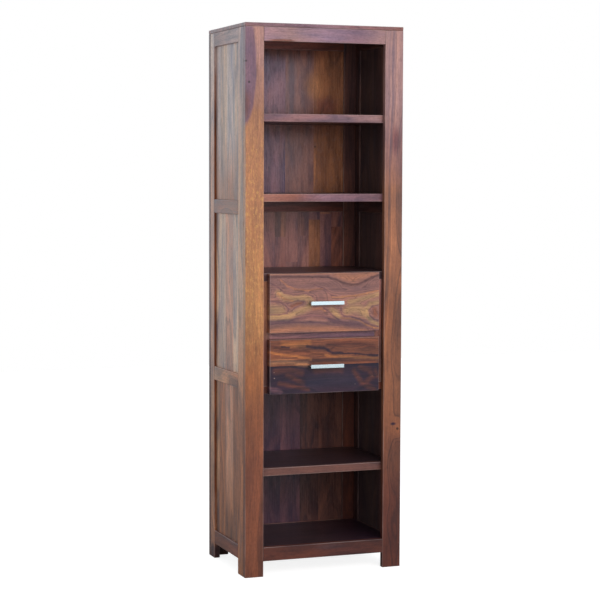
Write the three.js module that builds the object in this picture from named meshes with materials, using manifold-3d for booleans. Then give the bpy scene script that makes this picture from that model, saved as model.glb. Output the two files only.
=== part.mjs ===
// Tall narrow bookcase in solid wood. The sides and the back are frames with
// loose panels, a face frame closes the front corners, and two dovetailed
// drawers sit in a case between three open compartments above and two below.
// Lengths are millimetres and z is up. The front looks towards -y. The origin
// lies on the floor, in the middle of the footprint with the drawer pulls.

import * as THREE from 'three';
import { mergeVertices } from 'three/addons/utils/BufferGeometryUtils.js';
import Module from 'manifold-3d';

const wasm = await Module();
wasm.setup();

// Clearance between any two pieces, and how far a cut runs past a surface
const fit = 0.3;
const overrun = 4;

// The carcass, without drawers
const carcass = {
  width: 550,
  depth: 390,
  height: 1800,
  stileWidth: 64,
  boardThick: 20,
  topThick: 12,
  topArris: 2.5,
  arris: 2,
  arrisSteps: 3,
  footChamfer: 1.2,
};

// Where top faces lie, as shares of the height of the bookcase
const level = {
  lowerShelfShare: 0.1969,
  caseBottomShare: 0.3478,
  lowerRailShare: 0.3678,
  dividerShare: 0.4456,
  caseTopShare: 0.5522,
  upperRailShare: 0.6833,
  secondShelfShare: 0.6953,
  topShelfShare: 0.8394,
};

// Frame members of the sides and the back
const frame = {
  railHeight: 46,
  bottomRailFoot: 51,
  frontStileReach: 73,
  backStileReach: 61,
  tenonLength: 26,
  tenonShoulder: 8,
  cornerTongueThick: 6,
  cornerTongueDepth: 5,
  cornerTongueStop: 60,
};

// Loose panels: how deep they lie from outside, and their tongues
const panel = {
  outerRecess: 8,
  thick: 8,
  tongueThick: 6,
  tongueDepth: 8,
};

// Fixed boards, with the shoulders of their end tongues. The floor board lies
// a little under the rails round it.
const shelf = {
  thick: 26,
  floorThick: 20,
  floorDrop: 1,
  tongueShoulder: 3,
};

// Drawer case between its top and its bottom board
const drawerCase = {
  sideThick: 26,
  dividerThick: 26,
  dividerDepth: 60,
  dividerTenonLength: 12,
  dividerTenonThick: 10,
  dividerTenonShoulder: 12,
  tongueThick: 10,
  tongueDepth: 6,
  tongueStop: 25,
  runnerWidth: 24,
};

// Drawers: a thick overlay front on a box that runs between the case sides
const drawer = {
  frontThick: 25,
  frontOverlap: 7,
  frontArris: 2.5,
  frontDrop: 1.2,
  frontGap: 20.2,
  sideGap: 1,
  topGap: 6,
  backGap: 30,
  boxThick: 14,
  boxArris: 1,
  bottomThick: 6,
  bottomRise: 10,
  bottomGroove: 6,
  tailCount: 3,
  tailEndShare: 0.62,
  tailRootShare: 0.46,
  housingDepth: 9,
  housingNeckShare: 0.55,
  housingEndShare: 0.85,
};

// Pulls: a flat bar on two square legs, bolted from inside the drawer
const pull = {
  length: 116,
  height: 12,
  reach: 27,
  barThick: 6,
  legWidth: 10,
  cornerRadius: 2.5,
  edge: 0.8,
  boltDiameter: 4,
  boltDepth: 12,
  boltHeadDiameter: 8.5,
  boltHeadThick: 2.6,
  boltSides: 20,
};

// Planes that the pieces share
const halfWidth = carcass.width / 2;
const drawerProud = drawer.frontThick - carcass.boardThick;
const faceY = (drawerProud + pull.reach - carcass.depth) / 2;
const backY = faceY + carcass.depth;
const caseFrontY = faceY + carcass.boardThick + fit;
const caseBackY = backY - carcass.boardThick - fit;
const frameTop = carcass.height - carcass.topThick - fit;
const innerRecess = carcass.boardThick - panel.outerRecess - panel.thick;
const openHalf = halfWidth - carcass.stileWidth;
const caseHalf = openHalf - drawerCase.sideThick;
const boxDepth = carcass.depth - 2 * carcass.boardThick - drawer.backGap;

const caseTop = level.caseTopShare * carcass.height;
const caseBottomTop = level.caseBottomShare * carcass.height;
const railTops = [
  frame.bottomRailFoot + frame.railHeight,
  level.lowerRailShare * carcass.height,
  level.upperRailShare * carcass.height,
  frameTop,
];

// A range is [low, high]. Clearance grows it on both sides.
const grown = ([low, high], by = fit) => [low - by, high + by];
const below = (top, thick) => [top - thick, top];
const mirrored = ([low, high]) => [-high, -low];
const rails = railTops.map((top) => below(top, frame.railHeight));

const middle = ([low, high]) => (low + high) / 2;
const length = ([low, high]) => high - low;

function solidFrom(geometry) {
  const bare = geometry.clone();
  bare.deleteAttribute('normal');
  bare.deleteAttribute('uv');
  const merged = mergeVertices(bare);
  return new wasm.Manifold(new wasm.Mesh({
    numProp: 3,
    vertProperties: new Float32Array(merged.attributes.position.array),
    triVerts: new Uint32Array(merged.index.array),
  }));
}

// Turns a solid that was extruded along z so that it runs along x, y or z
function turned(geometry, axis) {
  if (axis === 'x') geometry.applyMatrix4(new THREE.Matrix4().set(
    0, 0, 1, 0,
    1, 0, 0, 0,
    0, 1, 0, 0,
    0, 0, 0, 1,
  ));
  if (axis === 'y') geometry.applyMatrix4(new THREE.Matrix4().set(
    0, 1, 0, 0,
    0, 0, 1, 0,
    1, 0, 0, 0,
    0, 0, 0, 1,
  ));
  return geometry;
}

function block(x, y, z) {
  const geometry = new THREE.BoxGeometry(length(x), length(y), length(z));
  geometry.translate(middle(x), middle(y), middle(z));
  return solidFrom(geometry);
}

function roundedRectangle(u, v, radius) {
  const [left, right] = u;
  const [bottom, top] = v;
  const quarter = Math.PI / 2;
  const shape = new THREE.Shape();
  shape.absarc(right - radius, bottom + radius, radius, -quarter, 0);
  shape.absarc(right - radius, top - radius, radius, 0, quarter);
  shape.absarc(left + radius, top - radius, radius, quarter, 2 * quarter);
  shape.absarc(left + radius, bottom + radius, radius, 2 * quarter, 3 * quarter);
  shape.closePath();
  return shape;
}

// A planed board: its long edges are rounded along the grain, and its two
// ends are left square or get a small chamfer.
function board(x, y, z, grain, arris, endChamfer = 0) {
  const ranges = { x: [y, z, x], y: [z, x, y], z: [x, y, z] }[grain];
  const [u, v, run] = ranges;
  const geometry = new THREE.ExtrudeGeometry(roundedRectangle(u, v, arris), {
    depth: length(run) - 2 * endChamfer,
    curveSegments: carcass.arrisSteps,
    bevelEnabled: endChamfer > 0,
    bevelThickness: endChamfer,
    bevelSize: endChamfer,
    bevelOffset: -endChamfer,
    bevelSegments: 1,
  });
  geometry.translate(0, 0, run[0] + endChamfer);
  return solidFrom(turned(geometry, grain));
}

function joined(first, others) {
  return others.reduce((whole, part) => whole.add(part), first);
}

function cut(first, others) {
  return first.subtract(joined(others[0], others.slice(1)));
}

// The outline of one dovetail: half its width at the root and at the end, and
// how far the end lies from the root, along u or, if upright, along v.
function dovetailShape(root, end, mid, upright = false) {
  const corners = [
    [root.at, mid - root.half],
    [end.at, mid - end.half],
    [end.at, mid + end.half],
    [root.at, mid + root.half],
  ];
  const points = corners.map(([along, across]) => (
    upright ? new THREE.Vector2(across, along) : new THREE.Vector2(along, across)
  ));
  return new THREE.Shape(points);
}

function prism(shape, run, axis) {
  const geometry = new THREE.ExtrudeGeometry(shape, {
    depth: length(run),
    bevelEnabled: false,
  });
  geometry.translate(0, 0, run[0]);
  return solidFrom(turned(geometry, axis));
}

// Wood tones, as the boards of one batch vary, and the metal of the pulls
const tones = {
  honey: 0x9a6a42,
  chestnut: 0x6f4530,
  russet: 0x6a3a28,
  plum: 0x664446,
  umber: 0x4a2c22,
  walnut: 0x593c30,
  tan: 0x8d6a52,
  boxwood: 0xa07850,
};

function wood(tone) {
  return new THREE.MeshStandardMaterial({
    color: tones[tone],
    roughness: 0.42,
    metalness: 0,
  });
}

function satinMetal() {
  return new THREE.MeshStandardMaterial({
    color: 0xc6cacd,
    roughness: 0.3,
    metalness: 1,
  });
}

// Puts a finished solid into the scene graph with its own origin at its middle
function place(group, name, solid, material) {
  const mesh = solid.getMesh();
  const geometry = new THREE.BufferGeometry();
  geometry.setAttribute('position', new THREE.BufferAttribute(mesh.vertProperties, 3));
  geometry.setIndex(new THREE.BufferAttribute(mesh.triVerts, 1));
  geometry.computeBoundingBox();
  const centre = geometry.boundingBox.getCenter(new THREE.Vector3());
  geometry.translate(-centre.x, -centre.y, -centre.z);
  geometry.computeVertexNormals();
  const piece = new THREE.Mesh(geometry, material);
  piece.name = name;
  piece.position.copy(centre);
  group.add(piece);
}

// Fixed boards run from one side frame to the other. A tongue on each end is
// housed in the frames, as deep as the panels lie back on the inside.
const shelfEnd = halfWidth - carcass.boardThick - fit;
const shelfX = [-shelfEnd, shelfEnd];
const shelfY = [caseFrontY, caseBackY];
const shelfTongueX = grown(shelfX, innerRecess);
const shelfTongueZ = (z) => grown(z, -shelf.tongueShoulder);
const shelfAt = (share) => below(share * carcass.height, shelf.thick);
const floorTop = railTops[0] - shelf.floorDrop;
const fixedBoards = {
  top_shelf: { z: shelfAt(level.topShelfShare), tone: 'plum' },
  second_shelf: { z: shelfAt(level.secondShelfShare), tone: 'chestnut' },
  drawer_case_top: { z: below(caseTop, shelf.thick), tone: 'walnut' },
  drawer_case_bottom: { z: below(caseBottomTop, shelf.thick), tone: 'umber' },
  lower_shelf: { z: shelfAt(level.lowerShelfShare), tone: 'plum' },
  floor_board: { z: below(floorTop, shelf.floorThick), tone: 'russet' },
};
const housings = Object.values(fixedBoards).map(({ z }) => [
  grown(shelfTongueX),
  grown(shelfY),
  grown(shelfTongueZ(z)),
]);

// One frame with its three panels. It is described flat: s runs along the
// frame from its first stile, t goes from its outer face inwards, and toXY
// stands it up in the carcass.
function framePieces({ span, firstStile, lastStile, toXY, grain, corners }) {
  const t = [0, carcass.boardThick];
  const tongueT = [panel.outerRecess, panel.outerRecess + panel.tongueThick];
  const panelT = [panel.outerRecess, panel.outerRecess + panel.thick];
  const z = [0, frameTop];
  const opening = [span[0] + firstStile, span[1] - lastStile];
  const railSpan = grown(opening, -fit);
  const tenonSpan = grown(opening, frame.tenonLength);
  const cutTenons = [];
  const pieces = {};

  const flat = (make, s, tRange, zRange, ...rest) => {
    const [x, y] = toXY(s, tRange);
    return make(x, y, zRange, ...rest);
  };

  // Rails, with tenons in line with the panel grooves
  const railNames = ['bottom_rail', 'lower_rail', 'upper_rail', 'top_rail'];
  const panelGrooves = [];
  const panelNames = ['bottom_panel', 'middle_panel', 'top_panel'];
  panelNames.forEach((name, i) => {
    const open = [rails[i][1], rails[i + 1][0]];
    const field = flat(block, grown(opening, -fit), panelT, grown(open, -fit));
    const tongueS = grown(opening, panel.tongueDepth);
    const tongueZ = grown(open, panel.tongueDepth);
    pieces[name] = field.add(flat(block, tongueS, tongueT, tongueZ));
    panelGrooves.push(flat(block, grown(tongueS), grown(tongueT), grown(tongueZ)));
  });
  railNames.forEach((name, i) => {
    const tenonZ = grown(rails[i], -frame.tenonShoulder - fit);
    const tenon = flat(block, tenonSpan, tongueT, tenonZ);
    const bar = flat(board, railSpan, t, rails[i], grain, carcass.arris);
    pieces[name] = cut(bar, panelGrooves).add(tenon);
    cutTenons.push(flat(block, grown(tenonSpan), grown(tongueT), grown(tenonZ)));
  });

  // Stiles, with mortises, grooves and the tongues of the corner joint
  const stiles = {
    first_stile: {
      s: [span[0], opening[0]],
      corner: [span[0] - frame.cornerTongueDepth, span[0] + overrun],
    },
    last_stile: {
      s: [opening[1], span[1]],
      corner: [span[1] - overrun, span[1] + frame.cornerTongueDepth],
    },
  };
  const cornerMid = carcass.boardThick / 2;
  const cornerT = grown([cornerMid, cornerMid], frame.cornerTongueThick / 2);
  const cornerZ = grown(z, -frame.cornerTongueStop);
  const cornerCuts = [];
  for (const [name, { s, corner }] of Object.entries(stiles)) {
    const bar = flat(board, s, t, z, 'z', carcass.arris, carcass.footChamfer);
    const stile = cut(bar, [...panelGrooves, ...cutTenons]);
    pieces[name] = corners ? stile.add(flat(block, corner, cornerT, cornerZ)) : stile;
    cornerCuts.push(flat(block, grown(corner), grown(cornerT), grown(cornerZ)));
  }
  return { pieces, cornerCuts };
}

const frameTones = {
  first_stile: 'tan',
  last_stile: 'chestnut',
  bottom_rail: 'russet',
  lower_rail: 'chestnut',
  upper_rail: 'tan',
  top_rail: 'plum',
  bottom_panel: 'russet',
  middle_panel: 'walnut',
  top_panel: 'chestnut',
};

const bookcase = new THREE.Group();
const fixed = new THREE.Group();
bookcase.add(fixed);

// Side frames, from the face frame to the back frame
const frameNames = {
  side: { first_stile: 'front_stile', last_stile: 'back_stile' },
  back: { first_stile: 'left_stile', last_stile: 'right_stile' },
};
const sideSpan = [caseFrontY, caseBackY];
const cornerCuts = [];
const sides = {
  left: ([low, high]) => [low - halfWidth, high - halfWidth],
  right: ([low, high]) => [halfWidth - high, halfWidth - low],
};
for (const [side, across] of Object.entries(sides)) {
  const { pieces, cornerCuts: cuts } = framePieces({
    span: sideSpan,
    firstStile: frame.frontStileReach - carcass.boardThick - fit,
    lastStile: frame.backStileReach - carcass.boardThick - fit,
    toXY: (s, t) => [across(t), s],
    grain: 'y',
    corners: true,
  });
  cornerCuts.push(...cuts);
  for (const [part, solid] of Object.entries(pieces)) {
    const name = `${side}_side_${frameNames.side[part] ?? part}`;
    const isPanel = part.endsWith('panel');
    const housed = isPanel ? solid : cut(solid, housings.map((range) => block(...range)));
    place(fixed, name, housed, wood(frameTones[part]));
  }
}

// Back frame, flush with the outer faces of the sides
const backFrame = framePieces({
  span: [-halfWidth, halfWidth],
  firstStile: carcass.stileWidth,
  lastStile: carcass.stileWidth,
  toXY: (s, [low, high]) => [s, [backY - high, backY - low]],
  grain: 'x',
  corners: false,
});
for (const [part, solid] of Object.entries(backFrame.pieces)) {
  const name = `back_${frameNames.back[part] ?? part}`;
  place(fixed, name, cut(solid, cornerCuts), wood(frameTones[part]));
}

// Face frame: two stiles to the floor, a rail below the top and one above the feet
const faceThick = [faceY, faceY + carcass.boardThick];
const faceRails = {
  front_bottom_rail: { z: rails[0], tone: 'russet' },
  front_top_rail: { z: rails[rails.length - 1], tone: 'plum' },
};
const tenonMidY = middle(faceThick);
const tenonY = grown([tenonMidY, tenonMidY], panel.tongueThick / 2);
const faceTenonX = grown([-openHalf, openHalf], frame.tenonLength);
const faceMortises = [];
for (const [name, { z, tone }] of Object.entries(faceRails)) {
  const tenonZ = grown(z, -frame.tenonShoulder);
  const bar = board(grown([-openHalf, openHalf], -fit), faceThick, z, 'x', carcass.arris);
  place(fixed, name, bar.add(block(faceTenonX, tenonY, tenonZ)), wood(tone));
  faceMortises.push(block(grown(faceTenonX), grown(tenonY), grown(tenonZ)));
}
const leftStileX = [-halfWidth, -openHalf];
const faceStiles = {
  front_left_stile: { x: leftStileX, tone: 'honey' },
  front_right_stile: { x: mirrored(leftStileX), tone: 'tan' },
};
for (const [name, { x, tone }] of Object.entries(faceStiles)) {
  const bar = board(x, faceThick, [0, frameTop], 'z', carcass.arris, carcass.footChamfer);
  place(fixed, name, cut(bar, [...faceMortises, ...cornerCuts]), wood(tone));
}

// Top board over all the frames
place(fixed, 'top_board', board(
  [-halfWidth, halfWidth],
  [faceY, backY],
  below(carcass.height, carcass.topThick),
  'x',
  carcass.topArris,
  carcass.topArris / 2,
), wood('chestnut'));

// Drawer case sides, tongued into the case top and bottom
const caseSideX = [caseHalf, openHalf];
const caseZ = [caseBottomTop + fit, caseTop - shelf.thick - fit];
const caseTongueX = grown([middle(caseSideX), middle(caseSideX)], drawerCase.tongueThick / 2);
const caseTongueY = [caseFrontY + drawerCase.tongueStop, caseBackY];
const caseTongueZ = grown(caseZ, drawerCase.tongueDepth);
const caseGrooves = [caseTongueX, mirrored(caseTongueX)].map((x) => (
  block(grown(x), [caseTongueY[0] - fit, caseBackY + overrun], grown(caseTongueZ))
));
for (const [name, { z, tone }] of Object.entries(fixedBoards)) {
  const plank = board(shelfX, shelfY, z, 'x', carcass.arris)
    .add(block(shelfTongueX, shelfY, shelfTongueZ(z)));
  place(fixed, name, cut(plank, caseGrooves), wood(tone));
}

// Divider rail between the drawers, and the runners behind it
const dividerZ = below(level.dividerShare * carcass.height, drawerCase.dividerThick);
const dividerY = [caseFrontY, caseFrontY + drawerCase.dividerDepth];
const dividerTenonX = grown([-caseHalf, caseHalf], drawerCase.dividerTenonLength);
const dividerTenonY = grown(dividerY, -drawerCase.dividerTenonShoulder);
const dividerTenonMid = middle(dividerZ);
const dividerTenonZ = grown(
  [dividerTenonMid, dividerTenonMid],
  drawerCase.dividerTenonThick / 2,
);
const divider = board(grown([-caseHalf, caseHalf], -fit), dividerY, dividerZ, 'x', carcass.arris)
  .add(block(dividerTenonX, dividerTenonY, dividerTenonZ));
place(fixed, 'drawer_divider', divider, wood('plum'));

const dividerMortise = block(grown(dividerTenonX), grown(dividerTenonY), grown(dividerTenonZ));
const runnerX = [caseHalf - fit - drawerCase.runnerWidth, caseHalf - fit];
const runnerY = [dividerY[1] + fit, caseBackY];
const handed = { left: mirrored, right: (range) => range };
const caseTones = { left: 'tan', right: 'russet' };
for (const [side, turnedTo] of Object.entries(handed)) {
  const plank = board(turnedTo(caseSideX), shelfY, caseZ, 'z', carcass.arris);
  const tongue = block(turnedTo(caseTongueX), caseTongueY, caseTongueZ);
  const solid = plank.add(tongue).subtract(dividerMortise);
  place(fixed, `drawer_case_${side}`, solid, wood(caseTones[side]));
  const strip = board(turnedTo(runnerX), runnerY, dividerZ, 'y', drawer.boxArris);
  place(fixed, `runner_${side}`, strip, wood('boxwood'));
}

// A square-legged pull as one bent bar, in the plan view, and its bolt holes
function makePull(legEnd, zMid) {
  const half = pull.length / 2;
  const barFace = legEnd - pull.reach + fit;
  const barBack = barFace + pull.barThick;
  const inner = half - pull.legWidth;
  const radius = pull.cornerRadius;
  const outline = new THREE.Shape();
  outline.moveTo(-half, legEnd);
  outline.absarc(-half + radius, barFace + radius, radius, Math.PI, (3 * Math.PI) / 2);
  outline.absarc(half - radius, barFace + radius, radius, (3 * Math.PI) / 2, 2 * Math.PI);
  outline.lineTo(half, legEnd);
  outline.lineTo(inner, legEnd);
  outline.lineTo(inner, barBack);
  outline.lineTo(-inner, barBack);
  outline.lineTo(-inner, legEnd);
  outline.closePath();
  const geometry = new THREE.ExtrudeGeometry(outline, {
    depth: pull.height - 2 * pull.edge,
    curveSegments: carcass.arrisSteps,
    bevelThickness: pull.edge,
    bevelSize: pull.edge,
    bevelOffset: -pull.edge,
    bevelSegments: 1,
  });
  geometry.translate(0, 0, zMid - pull.height / 2 + pull.edge);
  return solidFrom(geometry);
}

// A pan-head bolt that points towards -y, turned about its own axis
function makeBolt(head, tip) {
  const shank = pull.boltDiameter / 2;
  const rim = pull.boltHeadDiameter / 2;
  const shoulder = head - pull.boltHeadThick;
  const profile = [
    [0, tip],
    [shank, tip],
    [shank, shoulder],
    [rim, shoulder],
    [rim, middle([shoulder, head])],
    [middle([shank, rim]), head],
    [0, head],
  ].map(([radius, y]) => new THREE.Vector2(radius, y));
  return new THREE.LatheGeometry(profile, pull.boltSides);
}

function boltHole(x, yRange, z) {
  const radius = pull.boltDiameter / 2 + fit;
  const geometry = new THREE.CylinderGeometry(radius, radius, length(yRange), pull.boltSides);
  geometry.translate(x, middle(yRange), z);
  return solidFrom(geometry);
}

// One drawer. Its frame has y = 0 at the back of the drawer front, and z = 0
// at the surface that the box runs on.
function makeDrawer(name, { frontZ, clearHeight, tone, z: runningZ }) {
  const group = new THREE.Group();
  group.position.set(0, faceY + carcass.boardThick, runningZ);
  bookcase.add(group);

  const boxHalf = caseHalf - drawer.sideGap;
  const sideX = [boxHalf - drawer.boxThick, boxHalf];
  const boxZ = [fit, clearHeight - drawer.topGap];
  const shoulder = boxDepth - drawer.boxThick;

  // Bottom panel, held in grooves in the front and the sides, under the back
  const bottomZ = [fit + drawer.bottomRise, fit + drawer.bottomRise + drawer.bottomThick];
  const bottomX = grown([-sideX[0], sideX[0]], drawer.bottomGroove);
  const bottomY = [-drawer.bottomGroove, boxDepth];
  const bottomCut = block(
    grown(bottomX),
    [bottomY[0] - fit, boxDepth + overrun],
    grown(bottomZ),
  );
  place(group, `${name}_bottom`, block(bottomX, bottomY, bottomZ), wood('boxwood'));

  // Tails on the rear ends of the sides, spread over the height of the back
  const backZ = [bottomZ[1] + fit, boxZ[1]];
  const pitch = length(backZ) / drawer.tailCount;
  const rootHalf = (pitch * drawer.tailRootShare) / 2;
  const endHalf = (pitch * drawer.tailEndShare) / 2;
  const flare = (endHalf - rootHalf) / drawer.boxThick;
  const tails = (x, slack, past) => Array.from({ length: drawer.tailCount }, (_, i) => prism(
    dovetailShape(
      { at: shoulder - overrun, half: rootHalf + slack - flare * overrun },
      { at: boxDepth + past, half: endHalf + slack + flare * past },
      backZ[0] + pitch * (i + 1 / 2),
    ),
    x,
    'x',
  ));

  // The front ends of the sides are dovetailed too, and slide up into
  // housings that run out at the lower edge of the front
  const neckHalf = (drawer.boxThick * drawer.housingNeckShare) / 2;
  const tipHalf = (drawer.boxThick * drawer.housingEndShare) / 2;
  const spread = (tipHalf - neckHalf) / drawer.housingDepth;
  const key = (x, z, slack) => prism(
    dovetailShape(
      { at: overrun, half: neckHalf + slack - spread * overrun },
      { at: -drawer.housingDepth - slack, half: tipHalf + slack + spread * slack },
      middle(x),
      true,
    ),
    z,
    'z',
  );

  const backCuts = [];
  const frontCuts = [bottomCut];
  for (const [side, turnedTo] of Object.entries(handed)) {
    const x = turnedTo(sideX);
    const body = board(x, [fit, shoulder], boxZ, 'y', drawer.boxArris);
    const sill = block(x, [shoulder - overrun, boxDepth], [boxZ[0], backZ[0] - fit]);
    const plank = joined(body, [...tails(x, 0, 0), sill, key(x, boxZ, 0)]);
    place(group, `${name}_${side}_side`, plank.subtract(bottomCut), wood('boxwood'));
    const socketX = turnedTo([sideX[0] - fit, boxHalf + overrun]);
    backCuts.push(...tails(socketX, fit, overrun));
    frontCuts.push(key(x, [frontZ[0] - overrun, boxZ[1] + fit], fit));
  }
  const back = board([-boxHalf, boxHalf], [shoulder + fit, boxDepth], backZ, 'x', drawer.boxArris);
  place(group, `${name}_back`, cut(back, backCuts), wood('boxwood'));

  // The overlay front with its pull and the two bolts that hold it
  const frontHalf = caseHalf + drawer.frontOverlap;
  const frontY = [-drawer.frontThick, 0];
  const legEnd = frontY[0] - fit;
  const boltX = (pull.length - pull.legWidth) / 2;
  const boltTip = legEnd - pull.boltDepth;
  const pullZ = middle(frontZ);
  let bar = makePull(legEnd, pullZ);
  for (const [side, x] of [['left', -boltX], ['right', boltX]]) {
    const hole = boltHole(x, [boltTip - fit, overrun], pullZ);
    frontCuts.push(hole);
    bar = bar.subtract(hole);
    const bolt = makeBolt(fit + pull.boltHeadThick, boltTip);
    bolt.translate(x, 0, pullZ);
    place(group, `${name}_pull_bolt_${side}`, solidFrom(bolt), satinMetal());
  }
  place(group, `${name}_pull`, bar, satinMetal());
  const frontX = [-frontHalf, frontHalf];
  const frontEndArris = drawer.frontArris / 2;
  const slab = board(frontX, frontY, frontZ, 'x', drawer.frontArris, frontEndArris);
  place(group, `${name}_front`, cut(slab, frontCuts), wood(tone));
}

// The fronts cover the case edge all round, and leave a gap over the divider
const caseBottomZ = below(caseBottomTop, shelf.thick);
const dividerMid = middle(dividerZ);
const upperFrontZ = [dividerMid + drawer.frontGap / 2, caseTop - drawer.frontDrop];
const lowerFrontZ = [caseBottomZ[0] - drawer.frontDrop, dividerMid - drawer.frontGap / 2];
makeDrawer('upper_drawer', {
  frontZ: upperFrontZ.map((z) => z - dividerZ[1]),
  clearHeight: caseTop - shelf.thick - dividerZ[1],
  tone: 'tan',
  z: dividerZ[1],
});
makeDrawer('lower_drawer', {
  frontZ: lowerFrontZ.map((z) => z - caseBottomZ[1]),
  clearHeight: dividerZ[0] - caseBottomZ[1],
  tone: 'umber',
  z: caseBottomZ[1],
});

export default bookcase;
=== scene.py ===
import math
import bpy
from mathutils import Matrix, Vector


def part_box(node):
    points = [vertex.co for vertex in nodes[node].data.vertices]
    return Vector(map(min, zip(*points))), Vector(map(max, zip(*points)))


# Tall rosewood bookcase with two drawers, in a plain pale studio.
# Everything is in metres, and the frame's z is up.
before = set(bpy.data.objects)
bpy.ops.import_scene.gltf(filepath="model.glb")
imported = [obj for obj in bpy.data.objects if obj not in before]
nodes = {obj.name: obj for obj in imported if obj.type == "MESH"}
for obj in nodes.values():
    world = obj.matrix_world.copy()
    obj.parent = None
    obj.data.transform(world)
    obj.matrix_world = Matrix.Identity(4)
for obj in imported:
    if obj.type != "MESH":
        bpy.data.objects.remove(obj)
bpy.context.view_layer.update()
print("frame loaded,", len(nodes), "pieces")

# Middle tone of each kind of wood in the piece, as red, green, blue of 255; some, such as smoke, berry,
# lilac, heather, bone and pearl, partly stand for painted sheen
woodTones = {
    "sap": (164, 126, 118),
    "honey": (182, 131, 86),
    "gold": (166, 117, 84),
    "copper": (158, 101, 64),
    "amber": (144, 98, 74),
    "russet": (138, 80, 49),
    "chestnut": (121, 73, 54),
    "umber": (94, 52, 42),
    "cocoa": (76, 51, 53),
    "sienna": (126, 80, 70),
    "dusk": (92, 63, 60),
    "berry": (96, 67, 80),
    "smoke": (106, 86, 108),
    "pewter": (92, 76, 77),
    "char": (58, 43, 49),
    "ebony": (40, 23, 42),
    "indigo": (42, 34, 54),
    "knot": (34, 20, 18),
    "olive": (164, 134, 98),
    "straw": (206, 154, 94),
    "bone": (206, 188, 186),
    "pearl": (208, 178, 162),
    "wheat": (194, 148, 127),
    "heather": (174, 156, 163),
    "fig": (108, 76, 82),
    "ember": (80, 45, 42),
    "flame": (176, 112, 66),
    "rose": (150, 118, 117),
    "blush": (138, 100, 94),
    "mauve": (134, 98, 102),
    "lilac": (139, 112, 130),
    "plum": (121, 92, 107),
    "wine": (112, 71, 72),
    "ash": (180, 160, 154),
    "tan": (178, 144, 122),
    "fawn": (168, 115, 88),
    "slate": (92, 88, 98),
    "toffee": (134, 88, 64),
    "box": (188, 148, 100),
}
# How far the early and the late wood of a ring lie from its middle tone
toneSpread = ((1.70, 1.52, 1.28), (0.55, 0.58, 0.74))


# Turns red, green and blue of 255 into the linear colour that a shader takes
def linear(rgb):
    parts = [v / 255 for v in rgb]
    lin = [p / 12.92 if p <= 0.04045 else ((p + 0.055) / 1.055) ** 2.4 for p in parts]
    return (*lin, 1.0)


# Helpers for node trees: a value may be a number, a colour or another node's socket
def feed(tree, socket, value):
    if isinstance(value, bpy.types.NodeSocket):
        tree.links.new(value, socket)
    elif value is not None:
        socket.default_value = value


def addNode(tree, kind, feeds=None, **settings):
    made = tree.nodes.new(kind)
    for name, value in settings.items():
        setattr(made, name, value)
    for name, value in (feeds or {}).items():
        feed(tree, made.inputs[name], value)
    return made


def calc(tree, operation, *values, clamp=False):
    step = addNode(tree, "ShaderNodeMath", operation=operation, use_clamp=clamp)
    for socket, value in zip(step.inputs, values):
        feed(tree, socket, value)
    return step.outputs[0]


def vectorCalc(tree, operation, *values):
    step = addNode(tree, "ShaderNodeVectorMath", operation=operation)
    for socket, value in zip(step.inputs, values):
        feed(tree, socket, value)
    return step.outputs["Value" if operation in ("LENGTH", "DOT_PRODUCT") else "Vector"]


def scaled(tree, vector, amount):
    made = addNode(tree, "ShaderNodeVectorMath", {"Scale": amount}, operation="SCALE")
    feed(tree, made.inputs[0], vector)
    return made.outputs["Vector"]


def split(tree, vector):
    return addNode(tree, "ShaderNodeSeparateXYZ", {"Vector": vector}).outputs


def join(tree, x, y, z):
    return addNode(tree, "ShaderNodeCombineXYZ", {"X": x, "Y": y, "Z": z}).outputs[0]


def noise(tree, vector, scale, detail=2.0, roughness=0.5):
    feeds = {"Vector": vector, "Scale": scale, "Detail": detail, "Roughness": roughness}
    return addNode(tree, "ShaderNodeTexNoise", feeds).outputs


# Noise whose stretch tells how often it repeats in a metre along x, y and z
def stretchedNoise(tree, vector, stretch, detail, roughness):
    return noise(tree, vectorCalc(tree, "MULTIPLY", vector, stretch), 1.0, detail, roughness)


def lineNoise(tree, value, scale, detail, roughness):
    made = addNode(tree, "ShaderNodeTexNoise", noise_dimensions="1D")
    for name, given in (("W", value), ("Scale", scale), ("Detail", detail), ("Roughness", roughness)):
        feed(tree, made.inputs[name], given)
    return made.outputs[0]


# Moves a value that lies about one half to lie about zero
def centred(tree, value):
    return calc(tree, "SUBTRACT", value, 0.5)


# A soft step: toLow below low, toHigh above high, and a smooth curve between
def softStep(tree, value, low, high, toLow=0.0, toHigh=1.0):
    feeds = {"Value": value, "From Min": low, "From Max": high, "To Min": toLow, "To Max": toHigh}
    return addNode(tree, "ShaderNodeMapRange", feeds, interpolation_type="SMOOTHSTEP").outputs[0]


def blend(tree, share, first, second, kind="MIX"):
    made = addNode(tree, "ShaderNodeMix", data_type="RGBA", blend_type=kind, clamp_factor=True)
    feed(tree, made.inputs[0], share)
    feed(tree, made.inputs[6], first)
    feed(tree, made.inputs[7], second)
    return made.outputs[2]


# Brings a value into the colour channels alike, as a grey to multiply with
def grey(tree, value):
    feeds = {"Red": value, "Green": value, "Blue": value}
    return addNode(tree, "ShaderNodeCombineColor", feeds).outputs[0]


# A ramp through (place, linear colour) stops
def ramp(tree, value, stops, interpolation="LINEAR"):
    made = addNode(tree, "ShaderNodeValToRGB", {"Fac": value})
    made.color_ramp.interpolation = interpolation
    elements = made.color_ramp.elements
    while len(elements) < len(stops):
        elements.new(0.5)
    while len(elements) > len(stops):
        elements.remove(elements[-1])
    for element, (place, colour) in zip(elements, sorted(stops, key=lambda stop: stop[0])):
        element.position = place
        element.color = colour
    return made.outputs[0]


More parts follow.
